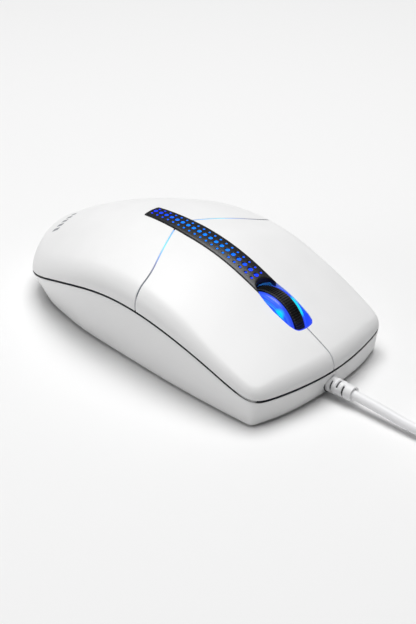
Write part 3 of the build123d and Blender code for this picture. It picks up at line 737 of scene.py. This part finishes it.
def smooth_copy(node, slot, body="housing", crease=28, keep=None, name=None):
    """A merged copy of a CAD node, with smooth shading across angles under crease degrees.

    keep, if given, says for face centres and normals which faces stay."""
    mesh = frame["nodes"][node].data.copy()
    work = bmesh.new()
    work.from_mesh(mesh)
    bmesh.ops.remove_doubles(work, verts=work.verts, dist=2e-6)
    bmesh.ops.dissolve_degenerate(work, edges=work.edges, dist=1e-7)
    if keep:
        centre = np.array([face.calc_center_median() for face in work.faces]) / MM
        normal = np.array([face.normal for face in work.faces])
        stays = keep(centre, normal)
        bmesh.ops.delete(work, geom=[f for f, stay in zip(work.faces, stays) if not stay], context="FACES")
    work.to_mesh(mesh)
    work.free()
    mesh.shade_smooth()
    mesh.set_sharp_from_angle(angle=np.radians(crease))
    mesh.name = name or f"{node}_moulding"
    return settle(bpy.data.objects.new(mesh.name, mesh), slot, body, (node,))


NEARLY_UP, BELT_HEIGHT, INSIDE_WALLS = 0.95, 12, 1.6


def not_the_wall(centre, normal):
    """Level faces of the floor, and everything further than a wall and a half inside the outline."""
    level = (abs(normal[:, 2]) > NEARLY_UP) & (centre[:, 2] < FLOOR_TOP + 0.1)
    share = np.clip((centre[:, 2] - BASE_Z) / BELT_HEIGHT, 0, 1)[:, None, None]
    at_height = footprint + share * (belt - footprint)
    gap = np.linalg.norm(centre[:, None, :2] - at_height, axis=2).min(axis=1)
    return level | (gap > INSIDE_WALLS * WALL)


wall = base_wall()
add_piece("base_wall", wall, grid_faces(*wall.shape[:2], closed=True), "white_shell", crease=50, up=(0, 0, 1))
floor_plate = smooth_copy("base_shell", "white_shell", keep=not_the_wall, name="base_floor")
print("base:", wall.shape[0], "rows of wall,", len(floor_plate.data.polygons), "triangles of floor")

# %% [markdown]
# ## The black strip and its holes
#
# The strip is a gently domed sheet with three rows of holes. A hole in a grid is easiest when each hole
# has a cell of its own: a polar grid that starts as the hole's circle and ends as the cell's square
# border. Neighbouring cells share the points of their borders, so they join without a crack.

# %% Strip cells
STRIP_PROUD, STRIP_CURVE, STRIP_THICK = 0.3, 0.35, 1.2
STATIONS = np.linspace(-13.2, 28.4, 19)
STATION_HALF = (STATIONS[1] - STATIONS[0]) / 2
HOLE_ROW, HOLE_BIG, HOLE_SMALL = 2.05 / 4.05, 0.72, 0.4
CELL_INNER, CELL_OUTER = 0.28, 0.73      # borders of the cells, as shares of the strip's half width
HOLE_SIDES, HOLE_EDGE = 16, 0.12         # corners of a hole, and where its small bevel ends on the way out
SIDE_ROLL, END_ROLL, END_ROLL_LONG = 0.25, 0.2, 0.35     # how far the strip's edges roll down
ROLL_FROM = 0.88                         # share of the half width where the side roll starts


def strip_top(x, y):
    """Height of the strip: the crown, plus how proud it stands, plus a dome across it."""
    return crown(x, y) + STRIP_PROUD + STRIP_CURVE * (1 - (x / STRIP_HALF) ** 2)


def notch_y(x):
    """The strip's front edge, a circle through its two tips and the middle of its notch."""
    sag = STRIP_TIP - STRIP_NOTCH
    radius = (STRIP_HALF ** 2 + sag ** 2) / (2 * sag)
    return STRIP_NOTCH + radius - np.sqrt(np.maximum(radius ** 2 - x ** 2, 0))


def square(angle):
    """The point of a square's border in the direction of angle."""
    c, s = np.cos(angle), np.sin(angle)
    return np.stack([c, s], -1) / np.maximum(abs(c), abs(s))[..., None]


def cell(centre_share, half_share, y, radius):
    """A polar grid from the hole's circle to the cell's border, both in share of half width and y."""
    angle = np.arange(HOLE_SIDES) * 2 * PI / HOLE_SIDES
    wide = strip_half(y)
    circle = np.stack([centre_share * wide + radius * np.cos(angle), y + radius * np.sin(angle)], -1)
    border_share = square(angle) * [half_share, STATION_HALF] + [centre_share, y]
    border = np.stack([border_share[:, 0] * strip_half(border_share[:, 1]), border_share[:, 1]], -1)
    out = np.array([0, HOLE_EDGE, 0.45, 1.0])[:, None, None]
    plan = circle + out * (border - circle)
    top = strip_top(plan[..., 0], plan[..., 1]) - 0.05 * (1 - out[..., 0] / HOLE_EDGE).clip(0) ** 2
    return np.dstack([plan, top]), grid_faces(4, HOLE_SIDES, closed=True)


def plain(shares, ys, front=False):
    """A plain grid over shares of the half width and y, rolled down at the strip's outer edges."""
    share, y = np.meshgrid(shares, ys)
    if front:
        x = share * STRIP_HALF
        y = ys[0] + (y - ys[0]) / (ys[-1] - ys[0]) * (notch_y(x) - ys[0])
    x = share * strip_half(y)
    roll = SIDE_ROLL * ((abs(share) - ROLL_FROM) / (1 - ROLL_FROM)).clip(0) ** 2
    roll = roll + END_ROLL * (1 - (y - STRIP_REAR) / END_ROLL_LONG).clip(0) ** 2
    if front:
        roll = roll + END_ROLL * (1 - (notch_y(x) - y) / END_ROLL_LONG).clip(0) ** 2
    return np.dstack([x, y, strip_top(x, y) - roll]), grid_faces(*share.shape)


def spine_strip():
    """57 cells, a plain margin along each side, and a plain end at the rear and at the front."""
    outer_mid, outer_half = (CELL_INNER + CELL_OUTER) / 2, (CELL_OUTER - CELL_INNER) / 2
    parts = []
    for y in STATIONS:
        parts.append(cell(0, CELL_INNER, y, HOLE_BIG))
        parts += [cell(side * outer_mid, outer_half, y, HOLE_SMALL) for side in (1, -1)]
    spokes = np.array([-1, -np.tan(PI / 8), 0, np.tan(PI / 8), 1])   # where a cell's rays meet its border
    ys = np.unique(np.round(STATIONS[:, None] + STATION_HALF * spokes, 6))
    margin = np.array([CELL_OUTER, 0.8, ROLL_FROM, 0.94, 0.98, 1.0])
    inner = np.concatenate([CELL_INNER * spokes, outer_mid + outer_half * spokes,
                            -outer_mid + outer_half * spokes])
    shares = np.unique(np.round(np.concatenate([margin, -margin, inner]), 6))
    parts += [plain(margin, ys), plain(-margin, ys)]
    parts.append(plain(shares, np.array([STRIP_REAR, STRIP_REAR + 0.15, STRIP_REAR + 0.35, ys[0]])))
    parts.append(plain(shares, ys[-1] + np.array([0, 0.5, 0.8, 0.92, 1.0]), front=True))
    return joined(parts)


strip = add_piece("black_strip", *spine_strip(), "black_strip", stands_for=("spine_strip",), up=(0, 0, 1))
thicken(strip, STRIP_THICK, 0)
print("strip:", len(strip.data.polygons), "faces")


# %% [markdown]
# ### The strip's skirt
#
# The strip is a thin sheet, so light from below would leak out beside it. A thin black wall hangs from
# it all the way round, as on a moulded cover. Each wall is a path seen from above with a copy of it
# nearer the middle, carried from a top height to a low one.

# %% The strip's skirt
SKIRT_WALL, APRON_LOW = 0.35, 26.1
SKIRT_TOP, SKIRT_LOW = 0.35, 1.55        # below the strip's top, and below the crown
SKIRT_POINTS, NOTCH_POINTS, TIP_SHORT = 160, 33, 0.3


def hanging_wall(path, top, low):
    """A wall under a path seen from above: the path and a copy nearer the middle, from top to low."""
    run = np.gradient(path, axis=0)
    side = np.stack([-run[:, 1], run[:, 0]], -1) / np.linalg.norm(run, axis=1)[:, None]
    inner = path + SKIRT_WALL * side
    corners = ((path, top), (path, low), (inner, low), (inner, top))
    rows = [np.column_stack([plan, high]) for plan, high in corners]
    points, count = np.stack(rows, 1), len(path)
    caps = [[0, 1, 2, 3], [(count - 1) * 4 + k for k in (3, 2, 1, 0)]]
    return points, [list(face) for face in grid_faces(count, 4, closed=True)] + caps


def strip_skirt():
    """One wall round the strip's sides and rear, and one that follows its notch down to a level edge."""
    y = np.array([STRIP_REAR + 0.1, STRIP_TAPER_END, STRIP_TIP - TIP_SHORT])
    right = np.stack([strip_half(y) - 0.04, y], -1)
    around = resample(np.vstack([right[::-1] * [-1, 1], right]), SKIRT_POINTS)
    reach = STRIP_HALF - 0.15
    x = np.linspace(reach, -reach, NOTCH_POINTS)
    notch = np.stack([x, notch_y(x)], -1)
    return joined([hanging_wall(around, strip_top(*around.T) - SKIRT_TOP, crown(*around.T) - SKIRT_LOW),
                   hanging_wall(notch, strip_top(*notch.T) - SKIRT_TOP, APRON_LOW + 0 * x)])


skirt = add_piece("strip_skirt", *strip_skirt(), "black_strip")
print("skirt:", len(skirt.data.polygons), "faces")

# %% [markdown]
# ### Light pins
#
# Seen from a low angle, a deep hole would show only its own wall. On the real part a clear pin stands
# in each hole and carries the light up to the surface. Each pin is a small profile turned round its own
# upright line.

# %% Pins in the holes
PIN_CLEAR, PIN_SUNK, PIN_SIDES = 0.02, 0.07, 12
PIN_PROFILE = [(1, -1.5), (1, -0.06), (0.9, 0), (0.5, 0.03), (0.02, 0.04)]   # share of radius, height


def pins():
    """(r cos a, r sin a, z) for the pin's profile, added to every hole's centre."""
    y = np.concatenate([STATIONS] * 3)
    share = np.repeat([0, HOLE_ROW, -HOLE_ROW], len(STATIONS))
    radius = np.where(share == 0, HOLE_BIG, HOLE_SMALL) - PIN_CLEAR
    x = share * strip_half(y)
    angle = np.arange(PIN_SIDES) * 2 * PI / PIN_SIDES
    scale, rise = np.array(PIN_PROFILE).T[:, :, None]
    faces = grid_faces(len(PIN_PROFILE), PIN_SIDES, closed=True)
    parts = []
    for cx, cy, r in zip(x, y, radius):
        ring = np.dstack([cx + r * scale * np.cos(angle), cy + r * scale * np.sin(angle),
                          strip_top(cx, cy) - PIN_SUNK + rise + 0 * angle])
        parts.append((ring, faces))
    return joined(parts)


PIN_BLUE = (0.001, 0.21, 1.0)
PIN_GLOW = lit("lit_pins", (0.0, 0.02, 0.25), "Y",
               [(-15, (0.01, 0.015, 1.0)), (-9, (0.004, 0.06, 1.0)), (-1, PIN_BLUE), (16, PIN_BLUE),
                (24, (0.004, 0.07, 1.0)), (31, (0.01, 0.015, 1.0))], 1.4)
light_pins = add_piece("light_pins", *pins(), "blue_acrylic", up=(0, 0, 1))
light_pins.data.materials[0] = PIN_GLOW.material
print("pins:", 3 * len(STATIONS))

# %% [markdown]
# ### Lit splits
#
# A thin blade of the same clear plastic stands in each split and shows as a line of light that fades
# towards the side of the mouse. Where the glow is gone, the blade's grey is painted shade of the split.

# %% Blades in the splits
BLADE_HALF, BLADE_SUNK, BLADE_DEEP = 0.2, 0.06, 2.0
BLADE_FROM, BLADE_TO, BLADE_STEPS = 4.35, 30.4, 120
GLOW_FROM, GLOW_TO = 4, 24               # x in mm over which the colours below are spread
SPLIT_COLOURS = [(0, (0.1, 0.3, 0.9)), (0.2, (0.1, 0.55, 1.0)), (0.42, (0.12, 0.8, 1.0)),
                 (0.58, (0.15, 0.4, 0.95)), (0.8, (0.14, 0.15, 0.35)), (1, (0.0, 0.0, 0.0))]


def seam_blade():
    """A rectangle carried along the split: for each x the blade follows split_y(x) and the skin."""
    x = np.linspace(BLADE_FROM, BLADE_TO, BLADE_STEPS)
    y = split_y(x)
    depth = depth_inside(np.stack([x, y], -1))
    top = crown(x, y) - roll_drop(depth, shoulder(y)) - BLADE_SUNK
    corners = [(-1, BLADE_DEEP), (-1, 0.05), (-0.6, 0), (0.6, 0), (1, 0.05), (1, BLADE_DEEP)]
    rows = [np.stack([x, y + side * BLADE_HALF, top - down], -1) for side, down in corners]
    points = np.stack(rows, 1)
    count = len(corners)
    caps = [list(range(count)), [(BLADE_STEPS - 1) * count + k for k in range(count)][::-1]]
    return points, [list(face) for face in grid_faces(BLADE_STEPS, count, closed=True)] + caps


def seam_glow():
    """Cyan beside the strip, then blue and violet, then only a grey base colour: painted shade of the split.
    """
    # The grey base colour is painted shade: it makes the split read as a dark line where no glow reaches.
    finish = Finish("lit_split", (0.15, 0.17, 0.2), 0.5)
    parts = finish.nodes.new("ShaderNodeSeparateXYZ")
    finish.links.new(finish.place, parts.inputs["Vector"])
    size = finish.nodes.new("ShaderNodeMath")
    size.operation = "ABSOLUTE"
    finish.links.new(parts.outputs["X"], size.inputs[0])
    share = finish.spread(size.outputs[0], GLOW_FROM * MM, GLOW_TO * MM, 0, 1)
    finish.feed(finish.ramp(share, SPLIT_COLOURS), "Emission Color")
    finish.shader.inputs["Emission Strength"].default_value = 1.0
    finish.bump(finish.noise(0.3), 0.02)
    return finish


SEAM_GLOW = seam_glow()
points, faces = seam_blade()
for side, name in ((1, "right"), (-1, "left")):
    blade = add_piece(f"{name}_split_light", points * [side, 1, 1], faces, "blue_acrylic")
    blade.data.materials[0] = SEAM_GLOW.material
print("blades:", len(points), "steps each")


# %% [markdown]
# ### The lit collar round the wheel
#
# A collar of clear blue plastic lines the wheel's opening and catches the lamp's light, so the gap beside
# the wheel glows instead of being black. It is the opening's outline, a little smaller, as a band that
# goes down into the mouse.

# %% Collar
COLLAR_CLEAR, COLLAR_WALL, COLLAR_TOP, COLLAR_DEEP = 0.15, 0.3, 0.2, 5.0
COLLAR_POINTS, SLOT_CENTRE_Y = 60, 40.0


def collar():
    """The opening's outline moved inwards by a fixed step, from the top to the bottom of the collar."""
    right = SLOT[2:-1]
    loop = resample(np.vstack([right, right[::-1] * [-1, 1]]), COLLAR_POINTS)
    middle = np.array([0, SLOT_CENTRE_Y])
    inwards = (middle - loop) / np.linalg.norm(middle - loop, axis=1)[:, None]
    rows = []
    for wall, deep in ((0, COLLAR_TOP), (0, COLLAR_DEEP), (COLLAR_WALL, COLLAR_DEEP),
                       (COLLAR_WALL, COLLAR_TOP), (0, COLLAR_TOP)):
        plan = loop + (COLLAR_CLEAR + wall) * inwards
        rows.append(np.column_stack([plan, crown(*plan.T) - deep]))
    return np.stack(rows)


COLLAR_GLOW = lit("lit_collar", (0.0, 0.02, 0.2), "Y",
                  [(35, (0.02, 0.08, 0.9)), (41, (0.01, 0.1, 1.0)), (45, (0.02, 0.06, 0.9)),
                   (49, (0.05, 0.08, 0.7))], 0.9)
band = collar()
ring = add_piece("wheel_collar", band, grid_faces(*band.shape[:2]), "blue_acrylic")
ring.data.materials[0] = COLLAR_GLOW.material
print("collar:", COLLAR_POINTS, "points round the opening")

# %% [markdown]
# ### Painted shade in the seam
#
# A dark band lies on the base's upper edge, under the top shell. It is painted shade: it is what makes
# the gap read as a dark line. It is a small profile carried along the belt: each corner of the profile
# is a distance inwards along the belt's normal, and a height from the seam.

# %% Painted seam shade
SEAM_SHADE_PROFILE = [(0.15, -0.33), (0.15, -0.29), (2.3, -0.29), (2.3, 0.9), (2.6, 0.9), (2.6, -1.0), (2.3, -1.0),
          (2.3, -0.33)]


def along_belt(profile):
    """Belt point + depth * inward normal, at the seam's height + rise, for each (depth, rise)."""
    normal, high = inward_normals(belt), side_height(SEAM, belt[:, 1])
    return np.stack([np.column_stack([belt + deep * normal, high + rise]) for deep, rise in profile])


# The black band is painted shade in the gap between the top shell and the base.
band = along_belt(SEAM_SHADE_PROFILE + SEAM_SHADE_PROFILE[:1])
print("painted_shade_band:", len(SEAM_SHADE_PROFILE), "corners carried along", len(belt), "points")
add_piece("seam_shade_strip", band, grid_faces(*band.shape[:2], closed=True), "black_plastic")

# %% [markdown]
# ## The wheel
#
# The wheel is turned work: a profile carried round an axle. The core is two clear discs with rounded
# rims and turned rings on each face. Half of the profile is written down, from the tyre's seat over the
# rim and down the face to the end of the axle, and the other half is its mirror image.

# %% Wheel core
WHEEL_Y, WHEEL_Z = 35.05, 14.95
TYRE_SEAT, TYRE_HALF, TYRE_OUTER = 9.4, 1.95, 11.6
RIM_ROUND, RIM_X, RIM_R, DISC_STEPS = 1.2, 2.5, 9.7, 128
DISC_FACE = [(3.7, 9.25), (3.55, 9.15), (3.55, 8.95), (3.7, 8.85), (3.7, 8.5), (3.6, 8.4), (1.1, 8.3),
             (1.0, 8.2), (1.0, 6.1), (1.25, 5.9), (1.0, 5.7), (1.0, 3.4), (1.1, 3.25), (3.6, 3.2),
             (3.7, 3.1), (3.7, 1.6), (3.8, 1.5), (8.8, 1.5), (9.0, 1.3), (9.0, 0.01)]


def turned(profile, steps, radius_of=None):
    """(x, wy + r cos a, wz + r sin a) for each profile point (x, r) and each angle a."""
    angle = np.arange(steps) * 2 * PI / steps
    x, r = np.array(profile).T[:, :, None]
    r = r + 0 * angle if radius_of is None else radius_of(x, r, angle)
    return np.dstack([x + 0 * r, WHEEL_Y + r * np.cos(angle), WHEEL_Z + r * np.sin(angle)])


def wheel_core():
    """The turned profile: seat, rim as a quarter circle, and face, mirrored to the other disc."""
    bend = np.linspace(0, PI / 2, 7)
    rim = [(RIM_X + RIM_ROUND * np.sin(b), RIM_R + RIM_ROUND * np.cos(b)) for b in bend]
    half = [(TYRE_HALF, TYRE_SEAT), (TYRE_HALF, 10.75), (2.1, 10.9)] + rim + DISC_FACE
    profile = [(-x, r) for x, r in half[::-1]] + half
    return turned(profile, DISC_STEPS)


points = wheel_core()
add_piece("wheel_discs", points, grid_faces(*points.shape[:2], closed=True), "wheel_acrylic", "wheel",
          ("wheel_core",))
print("discs:", points.shape[0], "points in the profile")

# %% [markdown]
# ### The tyre
#
# Fine ribs across the rubber give the finger grip. They could be cut one by one, but a rib is only a
# change of radius with the angle, so a cosine of the angle makes them all at once. They fade out at the
# tyre's two edges.

# %% Tyre
RIBS, RIB_DEEP, RIB_STEPS, RIB_FADE = 92, 0.3, 6, 0.5
CORNER_X, CORNER_R, CORNER_ROUND = 1.35, 11.0, 0.6


def tyre_radius(x, r, angle):
    """The profile's radius, minus a groove between ribs that fades out at the tyre's two edges."""
    groove = np.clip(1 - np.cos(RIBS * angle), 0, 0.5) / 0.5
    middle = np.clip((TYRE_HALF - abs(x)) / RIB_FADE, 0, 1) * (r > TYRE_SEAT + 1)
    return r - RIB_DEEP * middle * groove


def tyre():
    """The turned profile: flat top, rounded corner, side and seat, with the ribs in the radius."""
    bend = np.linspace(0, PI / 2, 6)
    corner = [(CORNER_X + CORNER_ROUND * np.sin(b), CORNER_R + CORNER_ROUND * np.cos(b)) for b in bend]
    side = [(TYRE_HALF, 10.4), (TYRE_HALF, TYRE_SEAT)]
    half = [(0.5, TYRE_OUTER), (1.0, TYRE_OUTER)] + corner + side
    profile = [(-x, r) for x, r in half[::-1]] + half + [(-TYRE_HALF, TYRE_SEAT)]
    return turned(profile, RIBS * RIB_STEPS, tyre_radius)


points = tyre()
add_piece("ribbed_tyre", points, grid_faces(*points.shape[:2], closed=True), "wheel_rubber", "wheel",
          ("wheel_tyre",), crease=50)
print("tyre:", RIBS, "ribs")

# %% [markdown]
# ## A printed mark
#
# A small grey mark is printed near the tail. Here it is a plain row of bars, each a thin patch that
# follows the crown a hair above it.

# %% Printed bars
MARK_X, MARK_Y, MARK_BARS = 7.4, -47.8, 5
BAR_PITCH, BAR_HALF, BAR_SHORT, BAR_GROWTH, INK = 2.0, 0.6, 1.1, 0.35, 0.02


def printed_bars():
    """Bars of growing length side by side along x, with the crown's height plus the ink's."""
    parts = []
    for k in range(MARK_BARS):
        half_long = BAR_SHORT + BAR_GROWTH * k / (MARK_BARS - 1)
        x, y = np.meshgrid(MARK_X + BAR_PITCH * (k - MARK_BARS // 2) + BAR_HALF * np.linspace(-1, 1, 5),
                           MARK_Y + half_long * np.linspace(-1, 1, 9))
        parts.append((np.dstack([x, y, crown(x, y) + INK]), grid_faces(*x.shape)))
    return joined(parts)


print("mark:", MARK_BARS, "bars")
add_piece("printed_bars", *printed_bars(), "grey_plastic", up=(0, 0, 1))

# %% [markdown]
# ## Painted shade inside the strain relief
#
# The strain relief has slots so that it can bend, and they look dark because they are deep. That
# shade is painted: a dark sleeve on the cord shows at the bottom of the slots, and a thin dark ring is
# painted shade where the relief goes into the base. Both are profiles turned round the cord's own line.

# %% Painted shade inside the strain relief
SLOT_SHADE_R, SLOT_SHADE_Y = 1.93, (58.2, 66.2)
JOINT_SHADE_R, JOINT_SHADE_Y = 2.85, (57.7, 58.0)
SLEEVE_SIDES = 40


def sleeve(low, high, inner, outer):
    """(r cos a, y, z0 + r sin a) for a rectangle of (y, r) corners, round the cord's own line."""
    angle = np.arange(SLEEVE_SIDES) * 2 * PI / SLEEVE_SIDES
    corners = [(low, inner), (low, outer), (high, outer), (high, inner), (low, inner)]
    y, r = np.array(corners).T[:, :, None]
    return np.dstack([r * np.cos(angle), y + 0 * angle, LEAD[0][2] + r * np.sin(angle)])


# Both bands are black: painted shade at the bottom of the slots and in the joint with the base.
for name, (low, high), inner, outer in (("slot_shade_sleeve", SLOT_SHADE_Y, 1.52, SLOT_SHADE_R),
                                        ("joint_shade_ring", JOINT_SHADE_Y, 2.6, JOINT_SHADE_R)):
    band = sleeve(low, high, inner, outer)
    add_piece(name, band, grid_faces(*band.shape[:2], closed=True), "black_plastic")
print("boot:", round(SLOT_SHADE_Y[1] - SLOT_SHADE_Y[0], 1), "mm of sleeve")

# %% [markdown]
# ## Small mouldings
#
# The strain relief, the plug, the tie and the wheel's cradle already have their shapes in the CAD. They
# are merged and smoothed copies, because a CAD mesh is loose triangles that would shade as flat facets.

# %% Small mouldings
for node, slot in (("strain_relief", "cord_white"), ("plug_overmould", "plug_plastic"),
                   ("coil_tie", "tie"), ("wheel_cradle", "grey_plastic"), ("plug_shell", "bright_metal")):
    smooth_copy(node, slot, "wheel_carriage" if node == "wheel_cradle" else "housing")

print("mouldings ready")

# %% [markdown]
# ## Floor
#
# The mouse lies on a plain sheet of pale paper. The sheet is a hair lower than the feet, so that the
# two surfaces don't fight for the same place.

# %% Floor
FLOOR, PAPER_LOW = 3.0, 0.0001           # metres
floor_mesh = bpy.data.meshes.new("floor")
floor_mesh.from_pydata([(-FLOOR, -FLOOR, 0), (FLOOR, -FLOOR, 0), (FLOOR, FLOOR, 0), (-FLOOR, FLOOR, 0)], [],
                       [(0, 1, 2, 3)])
floor = bpy.data.objects.new("floor", floor_mesh)
bpy.context.scene.collection.objects.link(floor)
floor.location.z = -PAPER_LOW
paper = Finish("pale_paper", (0.84, 0.84, 0.84), 0.9)
paper.bump(paper.noise(3), 0.02)
floor_mesh.materials.append(paper.material)
print("floor:", 2 * FLOOR, "m wide")

# %% [markdown]
# ## Lights
#
# White on white only reads through its shading. One large soft light above, a little behind the middle,
# makes the top bright and lets the front wall fall off. A weaker one from the right lifts the side, and
# the surroundings give a little light from everywhere. The view transform is the plain one, because
# the film-like one would grey the white.


# %% Lights
def soft_light(name, place, size, power):
    """A square area light that looks at the mouse."""
    lamp = bpy.data.lights.new(name, "AREA")
    lamp.size, lamp.energy = size, power
    holder = bpy.data.objects.new(name, lamp)
    bpy.context.scene.collection.objects.link(holder)
    holder.location = place
    holder.rotation_mode = "QUATERNION"
    holder.rotation_quaternion = (-holder.location).to_track_quat("-Z", "Y")


soft_light("overhead", (-0.1, -0.08, 1.05), 0.8, 13.0)
soft_light("right_side", (0.95, -0.5, 0.32), 0.5, 2.1)
world = bpy.data.worlds.new("studio")
bpy.context.scene.world = world
world.use_nodes = True
surroundings = world.node_tree.nodes["Background"]
surroundings.inputs["Color"].default_value = (1, 1, 1, 1)
surroundings.inputs["Strength"].default_value = 0.08
bpy.context.scene.view_settings.view_transform = "Standard"
print("two lights and the surroundings")
